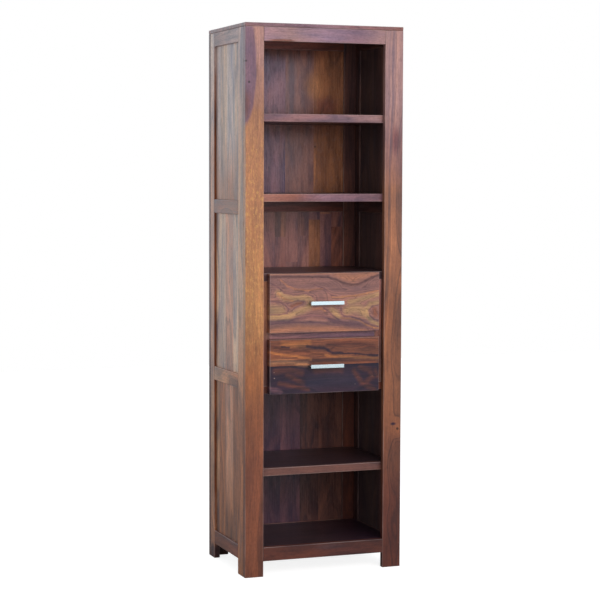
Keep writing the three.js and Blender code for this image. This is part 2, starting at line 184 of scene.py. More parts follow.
# A shader group. Inputs are (name, kind, value), outputs are (name, kind).
def newGroup(name, inputs, outputs):
    tree = bpy.data.node_groups.new(name, "ShaderNodeTree")
    for label, kind, value in inputs:
        socket = tree.interface.new_socket(label, in_out="INPUT", socket_type="NodeSocket" + kind)
        if value is not None:
            socket.default_value = value
    for label, kind in outputs:
        tree.interface.new_socket(label, in_out="OUTPUT", socket_type="NodeSocket" + kind)
    given = tree.nodes.new("NodeGroupInput").outputs
    result = tree.nodes.new("NodeGroupOutput").inputs
    return tree, given, result


def placeGroup(tree, group, feeds):
    made = addNode(tree, "ShaderNodeGroup", node_tree=group)
    for name, value in feeds.items():
        feed(tree, made.inputs[name], value)
    return made.outputs


# Shared effects. A board's own space has x across, y through and z along its grain.
# A noise is given as its stretch, its detail and its roughness.
noiseMiddle = (0.5, 0.5, 0.5)           # about which a noise's colours lie
ringLook = {
    "seedWay": (7.31, 3.17, 11.73),     # where in the noise the next seed lies
    "bend": ((7, 7, 2.2), 2.0, 0.5),
}


# Distance from the pith: the length of (x, y) from the heart line, which drifts
# with z and wanders with a slow noise.
def makeGrowthRings():
    tree, given, result = newGroup("growth rings", [
        ("Vector", "Vector", None), ("Seed", "Float", 0.0),
        ("Pith Across", "Float", 0.02), ("Pith Through", "Float", 0.06),
        ("Drift", "Float", 0.02), ("Wander", "Float", 0.03), ("Pull", "Float", 0.0),
    ], [("Distance", "Float")])
    shift = scaled(tree, ringLook["seedWay"], given["Seed"])
    place = vectorCalc(tree, "ADD", given["Vector"], shift)
    slow = stretchedNoise(tree, place, *ringLook["bend"])["Color"]
    bend = scaled(tree, vectorCalc(tree, "SUBTRACT", slow, noiseMiddle), given["Wander"])
    x, y, z = split(tree, vectorCalc(tree, "ADD", given["Vector"], bend))
    heart = calc(tree, "MULTIPLY_ADD", z, given["Drift"], given["Pith Across"])
    across = calc(tree, "SUBTRACT", x, heart)
    through = calc(tree, "SUBTRACT", y, given["Pith Through"])
    square = calc(tree, "MULTIPLY_ADD", through, through, calc(tree, "MULTIPLY", across, across))
    feed(tree, result["Distance"], calc(tree, "ADD", calc(tree, "SQRT", square), given["Pull"]))
    return tree


# The noises of the wood, from the coarsest to the finest
grainNoise = {
    "cloud": ((26, 26, 7), 3.0, 0.6),
    "spindle": ((40, 40, 3.6), 4.0, 0.62),
    "fleck": ((95, 95, 58), 4.0, 0.7),
    "speckle": ((230, 230, 120), 3.0, 0.6),
    "fibre": ((420, 420, 9), 3.0, 0.65),
    "pore": ((1300, 1300, 45), 1.0, 0.5),
}
# A span is where on its noise an effect begins and where it is full
grainLook = {
    "seedWay": (3.9, 8.3, 5.1),
    "seedStep": 17.7,           # rings from one seed to the next
    "broad": (0.75, 3.0, 0.55),     # noise along the rings: scale, detail, roughness
    "fine": (4.1, 2.0, 0.6),
    "tilt": 0.7,                # how much the clouds shift the broad bands
    "bandGain": 2.6,
    "lineSpan": (0.56, 0.68),
    "lineShare": 0.45,          # how far a line's ink goes from the dark wood
    "lineInk": (0.02, 0.012, 0.016, 1),
    "streakSpan": (0.52, 0.68),
    "fleckSpan": (0.50, 0.64),
    "mottleGain": 2.4,
    "fibreSpan": (0.25, 0.75),
    "fibreShade": (0.80, 1.16),
    "poreSpan": (0.60, 0.70),
    "poreShare": 0.5,
    "poreInk": (0.012, 0.007, 0.006, 1),
    # painted highlight along the board edges: its span on the cloud noise, its level, its share and its
    # pale tone
    "edgeGlintSpan": (0.35, 0.65),
    "edgeGlintLevel": (0.25, 0.9),
    "edgeGlintShare": 0.35,
    "edgeGlintTone": (0.50, 0.40, 0.38, 1),
    "cloudGloss": 0.16,         # what each adds to the roughness
    "poreGloss": 0.18,
    "fibreGloss": 0.10,
    "fineRelief": 0.18,         # what each adds to the height
    "fibreRelief": 0.42,
    "poreRelief": -0.8,
}


# Colour, roughness and height of lacquered rosewood. Broad bands and thin dark lines
# are noise along the ring distance; streaks, mottle, fibres and pores are noise that
# is stretched along the grain.
def makeRosewood():
    tree, given, result = newGroup("rosewood", [
        ("Vector", "Vector", None), ("Seed", "Float", 0.0), ("Distance", "Float", 0.0),
        ("Light", "Color", (0.3, 0.2, 0.1, 1)), ("Dark", "Color", (0.1, 0.05, 0.03, 1)),
        ("Streak Tone", "Color", (0.05, 0.03, 0.03, 1)),
        ("Ring Width", "Float", 0.012), ("Contrast", "Float", 1.0), ("Lines", "Float", 0.5),
        ("Streaks", "Float", 0.3), ("Mottle", "Float", 0.3), ("Fleck", "Float", 0.0),
        ("Fleck Tone", "Color", (0.5, 0.3, 0.1, 1)), ("Gloss", "Float", 0.34), ("Edge", "Float", 0.0),
    ], [("Color", "Color"), ("Roughness", "Float"), ("Height", "Float")])
    count = calc(tree, "DIVIDE", given["Distance"], given["Ring Width"])
    ring = calc(tree, "MULTIPLY_ADD", given["Seed"], grainLook["seedStep"], count)
    broad = lineNoise(tree, ring, *grainLook["broad"])
    fine = lineNoise(tree, ring, *grainLook["fine"])

    shift = scaled(tree, grainLook["seedWay"], given["Seed"])
    place = vectorCalc(tree, "ADD", given["Vector"], shift)
    cloud, spindle, fleck, speckle, fibre, pore = [
        stretchedNoise(tree, place, *kind)[0] for kind in grainNoise.values()]

    tilt = calc(tree, "MULTIPLY", centred(tree, cloud), grainLook["tilt"])
    mixed = calc(tree, "ADD", centred(tree, broad), tilt)
    gain = calc(tree, "MULTIPLY", given["Contrast"], grainLook["bandGain"])
    band = calc(tree, "MULTIPLY_ADD", mixed, gain, 0.5, clamp=True)
    colour = blend(tree, band, given["Dark"], given["Light"])
    lineMask = calc(tree, "MULTIPLY", softStep(tree, fine, *grainLook["lineSpan"]), given["Lines"])
    ink = blend(tree, grainLook["lineShare"], given["Dark"], grainLook["lineInk"])
    colour = blend(tree, lineMask, colour, ink)
    streak = softStep(tree, spindle, *grainLook["streakSpan"])
    colour = blend(tree, calc(tree, "MULTIPLY", streak, given["Streaks"]), colour, given["Streak Tone"])
    curl = softStep(tree, fleck, *grainLook["fleckSpan"])
    colour = blend(tree, calc(tree, "MULTIPLY", curl, given["Fleck"]), colour, given["Fleck Tone"])
    spread = calc(tree, "MULTIPLY", centred(tree, speckle), given["Mottle"])
    shade = calc(tree, "MULTIPLY_ADD", spread, grainLook["mottleGain"], 1.0)
    colour = blend(tree, 1.0, colour, grey(tree, shade), "MULTIPLY")
    shade = softStep(tree, fibre, *grainLook["fibreSpan"], *grainLook["fibreShade"])
    colour = blend(tree, 1.0, colour, grey(tree, shade), "MULTIPLY")
    poreMask = softStep(tree, pore, *grainLook["poreSpan"])
    depth = calc(tree, "MULTIPLY", poreMask, grainLook["poreShare"])
    colour = blend(tree, depth, colour, grainLook["poreInk"])
    # Painted highlight: the edges are lightened toward a pale tone, broken up by the cloud noise, for
    # light caught on the rounded arrises
    glintBreakup = softStep(tree, cloud, *grainLook["edgeGlintSpan"], *grainLook["edgeGlintLevel"])
    edgeGlint = calc(tree, "MULTIPLY", given["Edge"], glintBreakup)
    glintAmount = calc(tree, "MULTIPLY", edgeGlint, grainLook["edgeGlintShare"])
    feed(tree, result["Color"], blend(tree, glintAmount, colour, grainLook["edgeGlintTone"]))

    rough = calc(tree, "MULTIPLY_ADD", centred(tree, cloud), grainLook["cloudGloss"], given["Gloss"])
    rough = calc(tree, "MULTIPLY_ADD", poreMask, grainLook["poreGloss"], rough)
    rough = calc(tree, "MULTIPLY_ADD", centred(tree, fibre), grainLook["fibreGloss"], rough)
    feed(tree, result["Roughness"], rough)
    relief = calc(tree, "MULTIPLY", fibre, grainLook["fibreRelief"])
    relief = calc(tree, "MULTIPLY_ADD", fine, grainLook["fineRelief"], relief)
    relief = calc(tree, "MULTIPLY_ADD", poreMask, grainLook["poreRelief"], relief)
    feed(tree, result["Height"], relief)
    return tree


edgeFade = (0.35, 1.0)      # where the edge's mask begins to fall and where it ends, of Width


# 1 along the edges of a box between Low and High, and 0 inside its faces: the second
# smallest of a point's three distances to the faces, against Width.
def makeBoardEdges():
    tree, given, result = newGroup("board edges", [
        ("Vector", "Vector", None), ("Low", "Vector", None), ("High", "Vector", None),
        ("Width", "Float", 0.003),
    ], [("Edge", "Float")])
    fromLow = vectorCalc(tree, "ABSOLUTE", vectorCalc(tree, "SUBTRACT", given["Vector"], given["Low"]))
    fromHigh = vectorCalc(tree, "ABSOLUTE", vectorCalc(tree, "SUBTRACT", given["Vector"], given["High"]))
    x, y, z = split(tree, vectorCalc(tree, "MINIMUM", fromLow, fromHigh))
    larger = calc(tree, "MINIMUM", calc(tree, "MAXIMUM", x, y), z)
    second = calc(tree, "MAXIMUM", calc(tree, "MINIMUM", x, y), larger)
    share = calc(tree, "DIVIDE", second, given["Width"])
    feed(tree, result["Edge"], softStep(tree, share, *edgeFade, 1.0, 0.0))
    return tree


# A smooth hill of that Amount about Centre: Amount * exp(-|(v - Centre) / Size|^2)
def makeHill():
    tree, given, result = newGroup("hill", [
        ("Vector", "Vector", None), ("Centre", "Vector", None), ("Size", "Vector", (1, 1, 1)),
        ("Amount", "Float", 1.0),
    ], [("Hill", "Float")])
    offset = vectorCalc(tree, "SUBTRACT", given["Vector"], given["Centre"])
    away = vectorCalc(tree, "DIVIDE", offset, given["Size"])
    square = vectorCalc(tree, "DOT_PRODUCT", away, away)
    bell = calc(tree, "POWER", math.e, calc(tree, "MULTIPLY", square, -1.0))
    feed(tree, result["Hill"], calc(tree, "MULTIPLY", bell, given["Amount"]))
    return tree


# How far Vector is from the straight line that starts at From and goes Way, seen along y
def makeSegment():
    tree, given, result = newGroup("segment", [
        ("Vector", "Vector", None), ("From", "Vector", None), ("Way", "Vector", (1, 0, 0)),
    ], [("Distance", "Float")])
    away = vectorCalc(tree, "SUBTRACT", given["Vector"], given["From"])
    reach = vectorCalc(tree, "DOT_PRODUCT", away, given["Way"])
    square = vectorCalc(tree, "DOT_PRODUCT", given["Way"], given["Way"])
    nearest = scaled(tree, given["Way"], calc(tree, "DIVIDE", reach, square, clamp=True))
    apart = vectorCalc(tree, "MULTIPLY", vectorCalc(tree, "SUBTRACT", away, nearest), (1, 0, 1))
    feed(tree, result["Distance"], vectorCalc(tree, "LENGTH", apart))
    return tree


patchNoise = (3.0, 0.55)    # detail and roughness of the outline


# A patch of another tone: 1 inside an ellipse with an uneven outline, 0 outside it
def makePatch():
    tree, given, result = newGroup("tone patch", [
        ("Vector", "Vector", None), ("Centre", "Vector", None), ("Size", "Vector", (1, 1, 1)),
        ("Soft", "Float", 0.5), ("Stretch", "Vector", (60, 60, 60)), ("Uneven", "Float", 0.5),
    ], [("Mask", "Float")])
    offset = vectorCalc(tree, "SUBTRACT", given["Vector"], given["Centre"])
    away = vectorCalc(tree, "DIVIDE", offset, given["Size"])
    waver = centred(tree, stretchedNoise(tree, given["Vector"], given["Stretch"], *patchNoise)[0])
    far = calc(tree, "MULTIPLY_ADD", waver, given["Uneven"], vectorCalc(tree, "LENGTH", away))
    inner = calc(tree, "SUBTRACT", 1.0, given["Soft"])
    feed(tree, result["Mask"], softStep(tree, far, inner, 1.0, 1.0, 0.0))
    return tree


growthRings = makeGrowthRings()
rosewood = makeRosewood()
boardEdges = makeBoardEdges()
hill = makeHill()
tonePatch = makePatch()
segment = makeSegment()
print("shared wood effects made")


def newMaterial(name):
    material = bpy.data.materials.new(name)
    material.use_nodes = True
    tree = material.node_tree
    shader = tree.nodes["Principled BSDF"]
    place = addNode(tree, "ShaderNodeTexCoord").outputs["Object"]
    return material, tree, shader, place


# Gives a CAD piece its material, in every slot that it has
def dress(name, material):
    mesh = nodes[name].data
    if not mesh.materials:
        mesh.materials.append(material)
    for i in range(len(mesh.materials)):
        mesh.materials[i] = material


def bump(tree, height, strength=0.25, distance=0.0004):
    feeds = {"Strength": strength, "Distance": distance, "Height": height}
    return addNode(tree, "ShaderNodeBump", feeds).outputs[0]


# The light (0) or the dark (1) wood of a tone
def woodColour(tone, which):
    middle = linear(woodTones[tone])
    return (*(min(1.0, c * spread) for c, spread in zip(middle, toneSpread[which])), 1.0)


# Ramp stops of the light (0) or the dark (1) wood, by place or spread evenly
def toneStops(tones, which):
    last = max(1, len(tones) - 1)
    placed = [tone if isinstance(tone, tuple) else (i / last, tone) for i, tone in enumerate(tones)]
    return [(place, woodColour(tone, which)) for place, tone in placed]


# Light and dark wood, as a pair, along a value
def tonePair(tree, value, tones, interpolation="LINEAR"):
    return [ramp(tree, value, toneStops(tones, which), interpolation) for which in (0, 1)]


# Lays a tone over such a pair, where the mask is 1
def overlay(tree, mask, pair, tone):
    return [blend(tree, mask, under, woodColour(tone, which)) for which, under in enumerate(pair)]


# How the grain lies: the order of x, y, z that brings across, through and along
grains = {
    "z": (0, 1, 2),         # upright board whose face looks forward
    "zSide": (1, 0, 2),     # upright board whose face looks sideways
    "x": (2, 1, 0),
    "y": (2, 0, 1),
}
plainBoard = {
    "tones": ["chestnut"],  # from the low end of the grain to the high end
    "streakTone": "knot",
    "pith": (0.02, 0.07),   # across and through, from the board's middle
    "drift": 0.03,
    "wander": 0.05,
    "ringWidth": 0.016,
    "contrast": 0.8,
    "lines": 0.35,
    "streaks": 0.35,
    "mottle": 0.3,
    "gloss": 0.36,
    "shine": 0.42,
    "seed": 1.0,
    "planks": [],           # (share across where it starts, tone)
    "staves": None,         # (width, length) of short pieces that are glued up
    "patches": [],          # (tone, middle, half size, softness), seen from the face
    "knots": [],            # (middle, radius), seen from the face
    "reverse": None,        # (tones across the face, way through to it: 1 or -1, their share)
    "strokes": [],          # (tone, half width, points) drawn along the figure, in millimetres
    "sway": 0.009,          # how far the strokes stray from their straight lines
    "depth": 0.9,           # how fully a stroke takes its tone
    "follow": 0.35,         # how much the rings follow the strokes
    "merge": 0.016,         # how roundly the rings pass from one stroke to the next
    "fleck": 0.0,           # short curly flecks, and the span of the length that has them
    "fleckSpan": (0.35, 0.75),
    "fleckTone": "straw",
}
# How the figure of every board is worked out
figure = {
    "seedSpread": 9.0,      # over how many seeds the planks or staves of one board spread
    "plankTurn": 0.37,      # the step from plank to plank, as a share of that spread
    "toneScale": 9.0,       # slow noise that shifts the tones along the grain
    "toneShift": 0.12,
    "patchAcross": 70,      # how often a patch's outline wavers in a metre
    "patchAlong": 16,
    "patchThrough": 10,
    "patchUneven": 0.5,
    "reach": 9,             # far enough to go through any board
    "faceStep": 0.001,      # how soon one face's tones give way to the other's
    "sway": (34.0, 3.0, 0.6),   # scale, detail, roughness
    "perMetre": 1000,       # strokes are drawn in millimetres
    "strokeJoin": 0.006,    # how roundly the straight parts of a stroke meet
    "knotAcross": 2.2,      # how far a knot bends the rings, of its radius
    "knotAlong": 4.0,
    "knotPush": 2.5,
    "knotSoft": 0.7,
    "knotWaver": (300, 300, 300),   # how often its outline wavers in a metre
    "knotShare": 0.85,
    "fleckFade": 0.1,       # how softly the span of the flecks begins and ends
}


# A point or size seen from a board's face, as a vector; through is its third part,
# unless it has three parts already
def onFace(grain, pair, through):
    if len(pair) == 3:
        return pair
    side = grain in ("zSide", "y")
    return (through, pair[0], pair[1]) if side else (pair[0], through, pair[1])


# The same, from a size across the grain and one along it; z is the grain of upright boards
def onGrain(grain, across, along, through):
    return onFace(grain, (across, along) if grain[0] == "z" else (along, across), through)


# How far along a board's size a place lies, from 0 to 1
def shareOf(tree, value, size):
    return calc(tree, "MULTIPLY_ADD", value, 1 / size, 0.5)


# Each plank has a heart, a seed and a tone of its own
def plankWood(tree, planks, x, width, seed):
    share = shareOf(tree, x, width)
    starts = [start for start, tone in planks] + [1.0]
    marks = []
    for i, (start, end) in enumerate(zip(starts, starts[1:])):
        marks.append((start, ((start + end) / 2, (i * figure["plankTurn"]) % 1, 0, 1)))
    plank = ramp(tree, share, marks, "CONSTANT")
    mark = addNode(tree, "ShaderNodeSeparateColor", {"Color": plank}).outputs
    x = calc(tree, "MULTIPLY", calc(tree, "SUBTRACT", share, mark["Red"]), width)
    seed = calc(tree, "MULTIPLY_ADD", mark["Green"], figure["seedSpread"], seed)
    return x, seed, tonePair(tree, share, planks, "CONSTANT")


# Short pieces side by side, each column with its own offset
def staveWood(tree, staves, tones, x, z, seed):
    width, length = staves
    column = calc(tree, "FLOOR", calc(tree, "DIVIDE", x, width))
    offset = addNode(tree, "ShaderNodeTexWhiteNoise", noise_dimensions="1D")
    feed(tree, offset.inputs["W"], column)
    far = calc(tree, "ADD", calc(tree, "DIVIDE", z, length), offset.outputs["Value"])
    cell = join(tree, column, calc(tree, "FLOOR", far), 0)
    piece = addNode(tree, "ShaderNodeTexWhiteNoise", {"Vector": cell}).outputs["Value"]
    seed = calc(tree, "MULTIPLY_ADD", piece, figure["seedSpread"], seed)
    return seed, tonePair(tree, piece, tones)


# One board, whose tones run along its grain
def solidWood(tree, tones, place, along):
    slow = centred(tree, noise(tree, place, figure["toneScale"])[0])
    level = calc(tree, "MULTIPLY_ADD", slow, figure["toneShift"], along)
    return tonePair(tree, level, tones)


def patchMask(tree, grain, place, at, radii, soft, waver):
    return placeGroup(tree, tonePatch, {
        "Vector": place, "Centre": onFace(grain, at, 0), "Size": onFace(grain, radii, figure["reach"]),
        "Soft": soft, "Stretch": waver, "Uneven": min(figure["patchUneven"], soft)})["Mask"]


# Strokes along the figure, over the pair of tones, and the distance to the nearest one.
# The middle part of spot carries the nearest stroke so far, so that each stroke waits for
# the one before it; worked out side by side they would not fit in the renderer's memory
# for one shader.
def drawStrokes(tree, look, place, pair):
    waver = noise(tree, place, *figure["sway"])["Color"]
    sway = scaled(tree, vectorCalc(tree, "SUBTRACT", waver, noiseMiddle), look["sway"])
    swayed = split(tree, vectorCalc(tree, "ADD", place, sway))
    near = 1.0
    for tone, width, points in look["strokes"]:
        spot = join(tree, swayed["X"], near, swayed["Z"])
        stroke = None
        points = [[v / figure["perMetre"] for v in point] for point in points]
        for (a, b), (c, d) in zip(points, points[1:]):
            feeds = {"Vector": spot, "From": (a, 0, b), "Way": (c - a, 0, d - b)}
            reach = placeGroup(tree, segment, feeds)["Distance"]
            if stroke is None:
                stroke = reach
            else:
                stroke = calc(tree, "SMOOTH_MIN", stroke, reach, figure["strokeJoin"])
        mask = softStep(tree, stroke, 0.0, width / figure["perMetre"], look["depth"], 0.0)
        pair = overlay(tree, mask, pair, tone)
        near = calc(tree, "SMOOTH_MIN", near, stroke, look["merge"])
    return near, pair


# How far the knots push the rings aside, and the masks of their dark cores
def knotWood(tree, grain, place, knots):
    pull = 0.0
    cores = []
    for at, radius in knots:
        size = onGrain(
            grain, radius * figure["knotAcross"], radius * figure["knotAlong"], figure["reach"])
        feeds = {"Vector": place, "Centre": onFace(grain, at, 0), "Size": size,
                 "Amount": radius * figure["knotPush"]}
        pull = calc(tree, "ADD", placeGroup(tree, hill, feeds)["Hill"], pull)
        cores.append(patchMask(
            tree, grain, place, at, (radius, radius), figure["knotSoft"], figure["knotWaver"]))
    return pull, cores


# Rosewood as one board, or glued up from planks or staves
def woodMaterial(name, grain, **look):
    look = {**plainBoard, **look}
    low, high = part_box(name)
    material, tree, shader, place = newMaterial(name.replace("_", " "))
    middle = [(a + b) / 2 for a, b in zip(low, high)]
    order = grains[grain]
    sizes = [high[i] - low[i] for i in order]
    parts = split(tree, vectorCalc(tree, "SUBTRACT", place, middle))
    x, y, z = (parts[i] for i in order)
    sideways = x
    seed = look["seed"]
    along = shareOf(tree, z, sizes[2])

    if look["planks"]:
        x, seed, pair = plankWood(tree, look["planks"], x, sizes[0], seed)
    elif look["staves"]:
        seed, pair = staveWood(tree, look["staves"], look["tones"], x, z, seed)
    else:
        pair = solidWood(tree, look["tones"], place, along)
    waver = onGrain(grain, figure["patchAcross"], figure["patchAlong"], figure["patchThrough"])
    for tone, at, radii, soft in look["patches"]:
        pair = overlay(tree, patchMask(tree, grain, place, at, radii, soft, waver), pair, tone)
    if look["reverse"]:
        tones, way, share = look["reverse"]
        mask = softStep(tree, calc(tree, "MULTIPLY", y, way), 0.0, figure["faceStep"], 0.0, share)
        across = shareOf(tree, sideways, sizes[0])
        pair = [blend(tree, mask, under, ramp(tree, across, toneStops(tones, which)))
                for which, under in enumerate(pair)]
    if look["strokes"]:
        near, pair = drawStrokes(tree, look, place, pair)

    space = join(tree, x, y, z)
    pull, cores = knotWood(tree, grain, place, look["knots"])
    if look["strokes"]:
        level = calc(tree, "MULTIPLY_ADD", x, 1 - look["follow"], pull)
        distance = calc(tree, "MULTIPLY_ADD", near, look["follow"], level)
    else:
        across, through = look["pith"]
        distance = placeGroup(tree, growthRings, {
            "Vector": space, "Seed": seed, "Pith Across": across, "Pith Through": through,
            "Drift": look["drift"], "Wander": look["wander"], "Pull": pull})["Distance"]

    first, last = look["fleckSpan"]
    fade = figure["fleckFade"]
    rise = softStep(tree, along, first - fade, first + fade, 0.0, look["fleck"])
    fall = softStep(tree, along, last - fade, last + fade, 1.0, 0.0)
    fleck = calc(tree, "MULTIPLY", rise, fall)
    edge = placeGroup(tree, boardEdges, {"Vector": place, "Low": low, "High": high})["Edge"]
    light, dark = pair
    wood = placeGroup(tree, rosewood, {
        "Vector": space, "Seed": seed, "Distance": distance, "Light": light, "Dark": dark,
        "Streak Tone": linear(woodTones[look["streakTone"]]), "Ring Width": look["ringWidth"],
        "Contrast": look["contrast"], "Lines": look["lines"], "Streaks": look["streaks"],
        "Mottle": look["mottle"], "Fleck": fleck, "Fleck Tone": linear(woodTones[look["fleckTone"]]),
        "Gloss": look["gloss"], "Edge": edge})
    colour = wood["Color"]
    for core in cores:
        share = calc(tree, "MULTIPLY", core, figure["knotShare"])
        colour = blend(tree, share, colour, linear(woodTones["knot"]))
    feed(tree, shader.inputs["Base Color"], colour)
    feed(tree, shader.inputs["Roughness"], wood["Roughness"])
    feed(tree, shader.inputs["Normal"], bump(tree, wood["Height"]))
    shader.inputs["Specular IOR Level"].default_value = look["shine"]
    dress(name, material)


# The front's uprights, read from the floor up. Their tones lighten toward the top: partly the wood's own,
# partly painted light, with painted shade low down and a painted pinkish sheen near the top
leftStile = {
    "seed": 2.0,
    "tones": [(0.22, "chestnut"), (0.36, "copper"), (0.48, "honey"), (0.67, "gold"),
              (0.86, "gold"), (0.94, "sap")],
    "streakTone": "umber",
    "pith": (-0.05, 0.09),
    "contrast": 0.65,
    "lines": 0.2,
    "streaks": 0.2,
    "mottle": 0.25,
    "fleck": 0.8,
    "fleckSpan": (0.45, 0.80),
    # The plum patch at the top of the left stile is painted sheen
    "patches": [("plum", (-0.281, 1.66), (0.047, 0.20), 0.14),
                ("wine", (-0.272, 1.54), (0.026, 0.07), 0.8)],
    "knots": [((-0.262, 1.610), 0.006), ((-0.272, 1.677), 0.005)],
}
rightStile = {
    "seed": 3.0,
    "tones": [(0.13, "umber"), (0.33, "toffee"), (0.48, "toffee"), (0.60, "amber"),
              (0.70, "amber"), (0.78, "blush"), (0.86, "rose")],
    "streakTone": "umber",
    "pith": (0.03, 0.045),
    "ringWidth": 0.011,
    "contrast": 0.75,
    "lines": 0.5,
    "streaks": 0.2,
    "mottle": 0.2,
    "patches": [("wine", (0.250, 1.43), (0.02, 0.07), 0.8),
                ("ebony", (0.247, 0.484), (0.014, 0.007), 0.8)],
    "knots": [((0.263, 0.467), 0.007)],
}
woodMaterial("front_left_stile", "z", **leftStile)
woodMaterial("front_right_stile", "z", **rightStile)

# The front's rails and the top, read from the left
topRail = {
    "seed": 4.0,
    # Its lilac, plum and rose tones are partly painted sheen, as at the top of the uprights
    "tones": ["lilac", "rose", "lilac", "plum", "rose"],
    "streakTone": "wine",
    "patches": [("chestnut", (-0.15, 1.744), (0.06, 0.006), 0.5)],
}
bottomRail = {
    "seed": 5.0,
    "tones": ["umber", "umber", "ember", "umber"],
    "patches": [("cocoa", (0.02, 0.085), (0.08, 0.014), 0.8)],
}
woodMaterial("front_top_rail", "x", **topRail)
woodMaterial("front_bottom_rail", "x", **bottomRail)
woodMaterial("top_board", "x", seed=6.0, tones=["mauve", "plum", "sienna"])

# Shelves. The wide boards get a darker tone than their front edges: painted shade inside the compartments.
# The edges' tones are read from the left; level is a shelf's height above the floor.
shelfLook = {"streakTone": "umber", "streaks": 0.3}
shelfTopShade = {"size": (0.5, 0.184, 0.1), "back": 0.03, "soft": 0.02}
shelves = {
    "top_shelf": {"seed": 7.0, "level": 1.50, "dark": "cocoa", "edge": ["mauve", "mauve", "rose"]},
    "second_shelf": {"seed": 8.0, "level": 1.24, "dark": "cocoa",
                     "edge": [(0.0, "blush"), (0.3, "sienna"), (0.5, "plum"), (1.0, "fig")]},
    "lower_shelf": {"seed": 9.0, "level": 0.34, "dark": "char", "edge": ["dusk"]},
}
for name, shelf in shelves.items():
    middle = (0, shelfTopShade["back"], shelf["level"])
    patch = (shelf["dark"], middle, shelfTopShade["size"], shelfTopShade["soft"])
    woodMaterial(name, "x", seed=shelf["seed"], tones=shelf["edge"], patches=[patch], **shelfLook)
woodMaterial("floor_board", "x", seed=10.0, tones=["char", "char", "ebony"])

# The drawer case
woodMaterial("drawer_case_top", "x", seed=11.0, tones=["cocoa", "char"], **shelfLook)
woodMaterial("drawer_case_bottom", "x", seed=12.0, tones=["umber"], **shelfLook)
woodMaterial("drawer_case_left", "z", seed=13.0, tones=["dusk", "sienna", "fawn", "amber"])
woodMaterial("drawer_case_right", "z", seed=14.0, tones=["dusk", "dusk", "sienna", "mauve"])
woodMaterial("drawer_divider", "x", seed=15.0, tones=["mauve", "plum"])

# Drawer fronts. Their strokes are read from the front, in millimetres, and drawn one by one.
upperStrokes = [
    ("fawn", 24, [(-192, 808), (-92, 814), (8, 809), (191, 793)]),
    ("fig", 14, [(-192, 839), (-125, 842), (-52, 854), (-5, 851), (48, 829), (108, 818), (191, 799)]),
    ("fawn", 28, [(41, 996), (68, 984), (98, 974), (135, 986), (175, 999)]),
    ("fawn", 5, [(-192, 992), (21, 991)]),
    ("olive", 19, [(-162, 931), (-139, 915), (-112, 910), (-79, 914), (-57, 909), (-50, 896),
        (-59, 881), (-82, 872), (-107, 864), (-132, 853), (-192, 853)]),
    ("olive", 25, [(-192, 878), (-172, 876), (-152, 876)]),
    ("chestnut", 9, [(-117, 887), (-97, 894), (-80, 897)]),
    ("fig", 3.5, [(-192, 905), (-162, 902), (-139, 891), (-127, 878), (-132, 864), (-159, 860),
        (-192, 861)]),
    ("fig", 3.5, [(-134, 896), (-95, 905), (-75, 901), (-80, 891), (-107, 881), (-120, 869)]),
    ("olive", 26, [(78, 868), (98, 874), (121, 872), (135, 861)]),
    ("olive", 14, [(85, 896), (118, 902), (155, 913), (191, 920)]),
    ("olive", 14, [(191, 894), (161, 889), (145, 871), (149, 848), (166, 831), (191, 819)]),
    ("olive", 18, [(25, 871), (38, 861), (45, 851)]),
    ("chestnut", 15, [(175, 869), (179, 854)]),
    ("fig", 2.8, [(191, 884), (168, 881), (155, 866), (160, 849), (175, 836), (191, 831)]),
    ("gold", 5, [(25, 914), (61, 913), (108, 916), (148, 925), (191, 932)]),
    ("gold", 5, [(58, 844), (91, 840), (121, 834), (145, 820), (175, 809), (191, 807)]),
    ("gold", 5, [(-165, 929), (-142, 912), (-112, 904)]),
    ("fawn", 5, [(-155, 973), (-132, 953), (-105, 941), (-59, 938), (-5, 943)]),
    ("fawn", 8, [(-42, 875), (-15, 878), (0, 870)]),
    ("fig", 4.2, [(-192, 964), (-162, 948), (-142, 931), (-109, 924), (-65, 928), (-42, 916)]),
    ("fig", 4.9, [(56, 878), (58, 859), (68, 850), (95, 847), (121, 839), (141, 826), (175, 815),
        (191, 812)]),
    ("fig", 4.9, [(-5, 878), (21, 858), (48, 838)]),
    ("cocoa", 7, [(-192, 983), (-92, 982), (10, 980), (38, 971), (66, 959), (92, 953), (114, 954),
        (140, 963), (165, 976), (191, 984)]),
    ("fig", 3.5, [(-39, 956), (-5, 943), (21, 921), (41, 917)]),
    ("fig", 3.5, [(-192, 829), (-125, 833), (-52, 833), (8, 826), (55, 816)]),
]
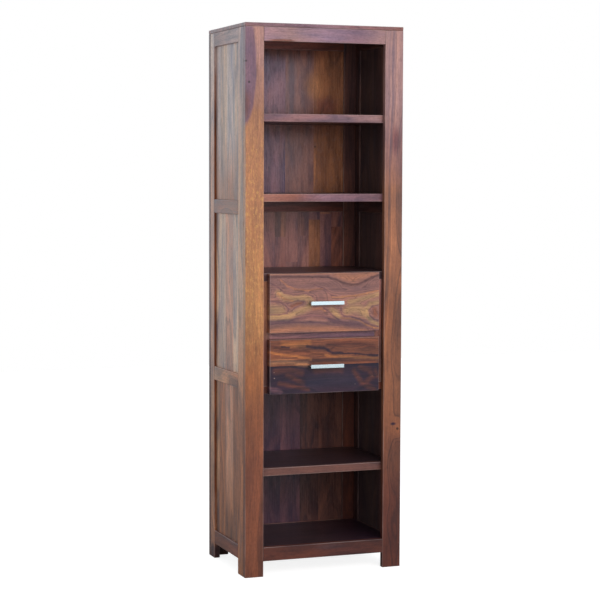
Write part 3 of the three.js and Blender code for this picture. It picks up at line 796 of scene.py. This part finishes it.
lowerStrokes = [
    ("flame", 17, [(-145, 762), (-105, 760), (-59, 763)]),
    ("gold", 15, [(-192, 704), (-142, 706), (-92, 700), (-65, 696)]),
    ("flame", 7, [(-192, 739), (-152, 729), (-92, 721), (-49, 710)]),
    ("flame", 7, [(-49, 733), (8, 720), (61, 717), (141, 710), (191, 707)]),
    ("umber", 8, [(-192, 759), (-152, 750), (-105, 742), (-59, 735), (-5, 723)]),
    ("umber", 11, [(8, 756), (61, 759), (125, 756), (175, 746)]),
    ("umber", 6, [(21, 742), (41, 756), (91, 766)]),
    ("umber", 6, [(-42, 707), (25, 707), (91, 700), (175, 698)]),
    ("ebony", 5, [(-152, 756), (-125, 752)]),
    ("ebony", 9, [(-62, 753), (-35, 750), (-5, 746), (11, 738)]),
    ("ebony", 8, [(8, 738), (28, 731), (61, 728)]),
    ("ebony", 4, [(65, 727), (108, 725), (151, 718), (188, 716)]),
    ("ebony", 8, [(158, 719), (185, 717)]),
    ("ember", 18, [(-172, 675), (-125, 678), (-82, 668)]),
    ("ember", 14, [(-132, 662), (-92, 642), (-75, 632)]),
    ("ember", 18, [(-32, 672), (15, 674), (55, 669)]),
    # The wide indigo stroke across the lower plank is partly the wood's own dark blue and partly a painted
    # blue-grey sheen
    ("indigo", 40, [(-52, 632), (25, 644), (108, 637)]),
    ("ember", 15, [(125, 678), (158, 669), (169, 646), (151, 632)]),
    ("ember", 12, [(178, 669), (189, 646)]),
    ("ember", 15, [(103, 668), (130, 628), (175, 602)]),
    ("ember", 12, [(-159, 635), (-109, 625), (-59, 612)]),
    ("berry", 14, [(-192, 618), (-172, 612), (-155, 605)]),
]
upperFront = {
    "seed": 18.0,
    "tones": ["blush"],
    "ringWidth": 0.011,
    "contrast": 0.6,
    "lines": 0.5,
    "streaks": 0.08,
    "mottle": 0.2,
    "knots": [((-0.046, 0.978), 0.003)],
    "strokes": upperStrokes,
    "sway": 0.006,
    "depth": 0.8,
    "follow": 0.7,
}
lowerFront = {
    "seed": 19.0,
    "planks": [(0.0, "ebony"), (0.512, "chestnut")],
    "ringWidth": 0.012,
    "contrast": 1.1,
    "lines": 0.6,
    "streaks": 0.2,
    "mottle": 0.2,
    "patches": [("ash", (-0.177, 0.672), (0.002, 0.002), 0.6),
                ("ash", (-0.176, 0.653), (0.002, 0.002), 0.6),
                ("ash", (0.168, 0.649), (0.003, 0.002), 0.6),
                ("ash", (0.107, 0.624), (0.002, 0.002), 0.6)],
    "strokes": lowerStrokes,
}
woodMaterial("upper_drawer_front", "x", **upperFront)
woodMaterial("lower_drawer_front", "x", **lowerFront)

# Sides: frames of stiles and rails round glued-up panels, read from the floor up. The
# pairs of the stiles are for the front one and the back one.
# The sides shine less than the other boards. The left side's pale greyish tones, such as heather, bone,
# pearl and wheat, lighter toward the top, stand partly for its sheen: painted sheen
sideLook = {"streakTone": "slate", "wander": 0.12, "contrast": 0.8, "lines": 0.35, "shine": 0.25}
sideStile = {**sideLook, "streaks": 0.35}
sideRail = {**sideLook, "streaks": 0.5}
sidePanel = {**sideLook, "streaks": 0.45, "ringWidth": 0.026}
stileTones = {
    "left": (["amber", "fawn", "tan", "tan", "heather"], ["fawn", "tan", "wheat", "wheat", "bone"]),
    "right": (["chestnut", "sienna", "amber", "fawn"], ["chestnut", "sienna", "amber", "fawn"]),
}
# The cocoa patch at the foot of each back stile is painted shade
stilePatches = [("russet", (0.150, 0.90), (0.004, 0.86), 0.3), ("cocoa", (0.165, 0.02), (0.05, 0.04), 0.6)]
railTones = {
    "left": (["sienna", "chestnut"], ["fawn", "tan"], ["amber", "sienna"], ["heather", "rose"]),
    "right": (["sienna", "chestnut"], ["amber"], ["fawn", "sienna"], ["amber", "blush"]),
}
panelTones = {
    "left": ([(0.0, "fawn"), (0.3, "wheat"), (0.6, "fawn"), (0.85, "tan")],
             [(0.0, "pearl"), (0.3, "wheat"), (0.6, "pearl"), (0.85, "pearl")],
             [(0.0, "pearl"), (0.25, "bone"), (0.55, "pearl"), (0.8, "bone")]),
    "right": ([(0.0, "amber"), (0.3, "sienna"), (0.6, "fawn")],
              [(0.0, "sienna"), (0.3, "fawn"), (0.6, "amber")],
              [(0.0, "fawn"), (0.25, "amber"), (0.55, "tan")]),
}
# Two of the panels darken toward their lower ends
panelFoot = (
    [("amber", (0.0, 0.08), (0.30, 0.32), 0.9)],
    [],
    [("fawn", (0.0, 1.20), (0.30, 0.30), 0.9)],
)
# Inside tones, from the front to the back. The inner faces of the frames and panels get darker tones than
# their outer faces, deepest toward the back: painted shade inside the cabinet
frontInside = ["sienna"]
frameInsideShade = ["dusk"]
panelInsideShade = (["dusk", "pewter", "pewter"], ["sienna", "pewter", "pewter"], ["blush", "pewter", "pewter"])
frameHeights = ("bottom", "lower", "upper", "top")
panelHeights = ("bottom", "middle", "top")
for s, side in enumerate(("left", "right")):
    inward = 1 - 2 * s
    # the darker inside tones, painted shade, go on the faces that look into the cabinet
    inner = (frameInsideShade, inward, 1.0)
    frontTones, backTones = stileTones[side]
    woodMaterial(
        f"{side}_side_front_stile", "zSide", seed=21.0 + s, tones=frontTones,
        reverse=(frontInside, inward, 1.0), **sideStile)
    woodMaterial(
        f"{side}_side_back_stile", "zSide", seed=23.0 + s, tones=backTones,
        reverse=inner, patches=stilePatches, **sideStile)
    woodMaterial(f"back_{side}_stile", "z", seed=25.0 + s, tones=["umber", "dusk"])
    for i, height in enumerate(frameHeights):
        woodMaterial(
            f"{side}_side_{height}_rail", "y", seed=27.0 + i + 4 * s, tones=railTones[side][i],
            reverse=inner, **sideRail)
    for i, height in enumerate(panelHeights):
        woodMaterial(
            f"{side}_side_{height}_panel", "zSide", seed=35.0 + i + 4 * s, planks=panelTones[side][i],
            reverse=(panelInsideShade[i], inward, 1.0), patches=panelFoot[i], **sidePanel)

# The back: rails, and panels whose planks are read from the left
backPanel = {
    "streakTone": "umber",
    "ringWidth": 0.030,
    "wander": 0.12,
    "contrast": 0.9,
    "lines": 0.3,
    "streaks": 0.25,
    "gloss": 0.28,
    "reverse": (["sienna"], 1, 0.7),
}
backTop = {
    **backPanel,
    # The smoke and plum planks at the left partly carry a painted bluish sheen
    "planks": [(0.0, "smoke"), (0.25, "plum"), (0.49, "blush"), (0.73, "amber")],
    # The gold patch is a painted pool of light; the two umber patches are painted shadow under the top
    # rail and under the top shelf
    "patches": [("gold", (0.10, 1.62), (0.05, 0.07), 0.9), ("sienna", (0.15, 1.55), (0.06, 0.05), 0.8),
                ("umber", (0.0, 1.74), (0.30, 0.05), 0.9), ("umber", (0.03, 1.49), (0.25, 0.07), 0.9)],
    "knots": [((0.106, 1.41), 0.005)],
    "fleck": 0.22,
    "fleckSpan": (-0.1, 0.7),
    "fleckTone": "rose",
}
backMiddle = {
    **backPanel,
    "tones": ["sienna", "mauve", "amber"],
    "staves": (0.042, 0.21),
}
backBottom = {
    **backPanel,
    # The berry planks partly carry a painted bluish sheen
    "planks": [(0.0, "berry"), (0.27, "berry"), (0.45, "berry"), (0.62, "dusk"), (0.78, "dusk")],
    "ringWidth": 0.016,
    "contrast": 1.0,
    "lines": 0.4,
}
for i, height in enumerate(frameHeights):
    woodMaterial(f"back_{height}_rail", "x", seed=43.0 + i, tones=["wine", "umber"])
woodMaterial("back_top_panel", "z", seed=47.0, **backTop)
woodMaterial("back_middle_panel", "z", seed=48.0, **backMiddle)
woodMaterial("back_bottom_panel", "z", seed=49.0, **backBottom)

# Drawer boxes and runners, of a plain light hardwood
boxWood = {"tones": ["box"], "streaks": 0.1, "lines": 0.15, "contrast": 0.4, "mottle": 0.1, "gloss": 0.5}
boxParts = (("left_side", "y"), ("right_side", "y"), ("back", "x"), ("bottom", "x"))
for i, drawer in enumerate(("upper_drawer", "lower_drawer")):
    for j, (part, grain) in enumerate(boxParts):
        woodMaterial(f"{drawer}_{part}", grain, seed=51.0 + 4 * i + j, **boxWood)
woodMaterial("runner_left", "y", seed=59.0, **boxWood)
woodMaterial("runner_right", "y", seed=60.0, **boxWood)
print("wood on every board")

# Satin nickel of the pulls and zinc of their bolts
metals = {
    # The pull's cool cyan tint stands partly for a bluish reflection: a painted reflection tint
    "pull": {"tone": (0.90, 1.0, 1.0), "roughness": 0.18, "brush": 0.06},
    "bolt": {"tone": (0.58, 0.59, 0.61), "roughness": 0.34, "brush": 0.05},
}
brushing = {
    "lines": ((30, 2400, 2400), 3.0, 0.6),
    "lineSpan": (0.2, 0.8),
    "lineShade": (0.92, 1.05),
    "smudgeScale": 60.0,
    "smudge": 0.08,
    "relief": (0.15, 0.0001),   # strength and distance
}


# Metal with fine brush lines along x: noise that is stretched along the bar
def metalMaterial(name, tone, roughness, brush):
    material, tree, shader, place = newMaterial(name)
    lines = stretchedNoise(tree, place, *brushing["lines"])[0]
    smudge = noise(tree, place, brushing["smudgeScale"])[0]
    shade = grey(tree, softStep(tree, lines, *brushing["lineSpan"], *brushing["lineShade"]))
    feed(tree, shader.inputs["Base Color"], blend(tree, 1.0, (*tone, 1), shade, "MULTIPLY"))
    shader.inputs["Metallic"].default_value = 1.0
    uneven = calc(tree, "MULTIPLY_ADD", lines, brush, roughness - brush / 2)
    rough = calc(tree, "MULTIPLY_ADD", smudge, brushing["smudge"], uneven)
    feed(tree, shader.inputs["Roughness"], rough)
    feed(tree, shader.inputs["Normal"], bump(tree, lines, *brushing["relief"]))
    return material


pullMetal = metalMaterial("satin pull", **metals["pull"])
boltMetal = metalMaterial("zinc bolt", **metals["bolt"])
for name in nodes:
    if name.endswith("_pull"):
        dress(name, pullMetal)
    elif "_pull_bolt_" in name:
        dress(name, boltMetal)
print("metal on pulls and bolts")


# The camera stands to the left of the bookcase, about at eye height
camera = {
    "place": (-2.1062, -5.6401, 1.3227),
    "turn": -20.299,        # degrees from looking straight at the front
    "down": 4.092,          # degrees below the horizon
    "roll": 0.172,
    "lens": 107.38,
    "sensor": 36.0,
    "reach": 200.0,         # as far as it sees
}


def makeCamera():
    data = bpy.data.cameras.new("camera")
    data.lens = camera["lens"]
    data.sensor_width = camera["sensor"]
    data.clip_end = camera["reach"]
    made = bpy.data.objects.new("camera", data)
    bpy.context.scene.collection.objects.link(made)
    # Turned by the roll about its own view axis first, then down from the zenith, then round
    turn = Matrix.Rotation(math.radians(camera["turn"]), 4, "Z")
    tilt = Matrix.Rotation(math.radians(90 - camera["down"]), 4, "X")
    roll = Matrix.Rotation(math.radians(camera["roll"]), 4, "Z")
    made.matrix_world = Matrix.Translation(camera["place"]) @ turn @ tilt @ roll
    bpy.context.scene.camera = made


# A warm lamp in front, a cool window to the right of it, and a bright wall behind on the
# left; mirrored ones show in glossy surfaces
lamps = {
    "lamp": {
        "place": (0.26, -3.50, 1.75),
        "size": (2.0, 2.0),
        "power": 62,
        "tint": (1.0, 0.95, 0.88),
        "mirrored": False,
    },
    "window": {
        "place": (1.75, -4.10, 2.45),
        "size": (1.7, 1.3),
        "power": 24,
        "tint": (0.90, 0.82, 1.0),
        "mirrored": True,
    },
    "wall": {
        "place": (-2.7, 3.3, 1.45),
        "size": (3.4, 1.9),
        "power": 14,
        "tint": (1.0, 0.94, 0.88),
        "mirrored": True,
    },
}
lampAim = (0.0, -0.10, 1.05)


# The turn that points a lamp's own -z from place to aim
def turnTo(place, aim):
    way = [a - p for a, p in zip(aim, place)]
    flat = math.hypot(way[0], way[1])
    return (math.atan2(flat, -way[2]), 0.0, math.atan2(-way[0], way[1]))


def makeLamp(name, place, size, power, tint, mirrored):
    data = bpy.data.lights.new(name, "AREA")
    data.shape = "RECTANGLE"
    data.size, data.size_y = size
    data.energy = power
    data.color = tint
    lamp = bpy.data.objects.new(name, data)
    lamp.location = place
    lamp.rotation_euler = turnTo(place, lampAim)
    lamp.visible_camera = False
    lamp.visible_glossy = mirrored
    bpy.context.scene.collection.objects.link(lamp)


# The room's light on dull surfaces and in glossy ones
room = {
    "level": 0.46,
    "tint": (0.96, 0.98, 1.0),
    "sheenLevel": 1.10,
    "sheenTint": (0.82, 0.92, 1.0),
}


# The room is white for the camera, and gives a level of its own to dull and glossy surfaces
def makeRoom():
    scene = bpy.context.scene
    scene.view_settings.view_transform = "Standard"
    world = bpy.data.worlds.new("room")
    scene.world = world
    world.use_nodes = True
    tree = world.node_tree
    ray = addNode(tree, "ShaderNodeLightPath").outputs
    seen = calc(tree, "MAXIMUM", ray["Is Camera Ray"], ray["Is Transmission Ray"])
    dull = tuple(c * room["level"] for c in room["tint"])
    glossy = tuple(c * room["sheenLevel"] for c in room["sheenTint"])
    colour = blend(tree, ray["Is Glossy Ray"], (*dull, 1), (*glossy, 1))
    feed(tree, tree.nodes["Background"].inputs["Color"], blend(tree, seen, colour, (1, 1, 1, 1)))
    tree.nodes["Background"].inputs["Strength"].default_value = 1.0


floorLook = {
    "half": 6.0,
    "tone": (0.50, 0.50, 0.50),
    "roughness": 0.8,
    "lift": 0.85,           # lifts the floor to white for the camera alone
}


def makeFloor():
    half = floorLook["half"]
    corners = [(-half, -half, 0), (half, -half, 0), (half, half, 0), (-half, half, 0)]
    mesh = bpy.data.meshes.new("floor")
    mesh.from_pydata(corners, [], [(0, 1, 2, 3)])
    floor = bpy.data.objects.new("floor", mesh)
    bpy.context.scene.collection.objects.link(floor)
    material, tree, shader, place = newMaterial("pale floor")
    shader.inputs["Base Color"].default_value = (*floorLook["tone"], 1)
    shader.inputs["Roughness"].default_value = floorLook["roughness"]
    ray = addNode(tree, "ShaderNodeLightPath").outputs
    strength = calc(tree, "MULTIPLY", ray["Is Camera Ray"], floorLook["lift"])
    lift = addNode(tree, "ShaderNodeEmission", {"Strength": strength})
    both = addNode(tree, "ShaderNodeAddShader")
    feed(tree, both.inputs[0], shader.outputs[0])
    feed(tree, both.inputs[1], lift.outputs[0])
    feed(tree, tree.nodes["Material Output"].inputs["Surface"], both.outputs[0])
    mesh.materials.append(material)


makeCamera()
makeRoom()
for name, lamp in lamps.items():
    makeLamp(name, **lamp)
makeFloor()
print("camera and studio made")
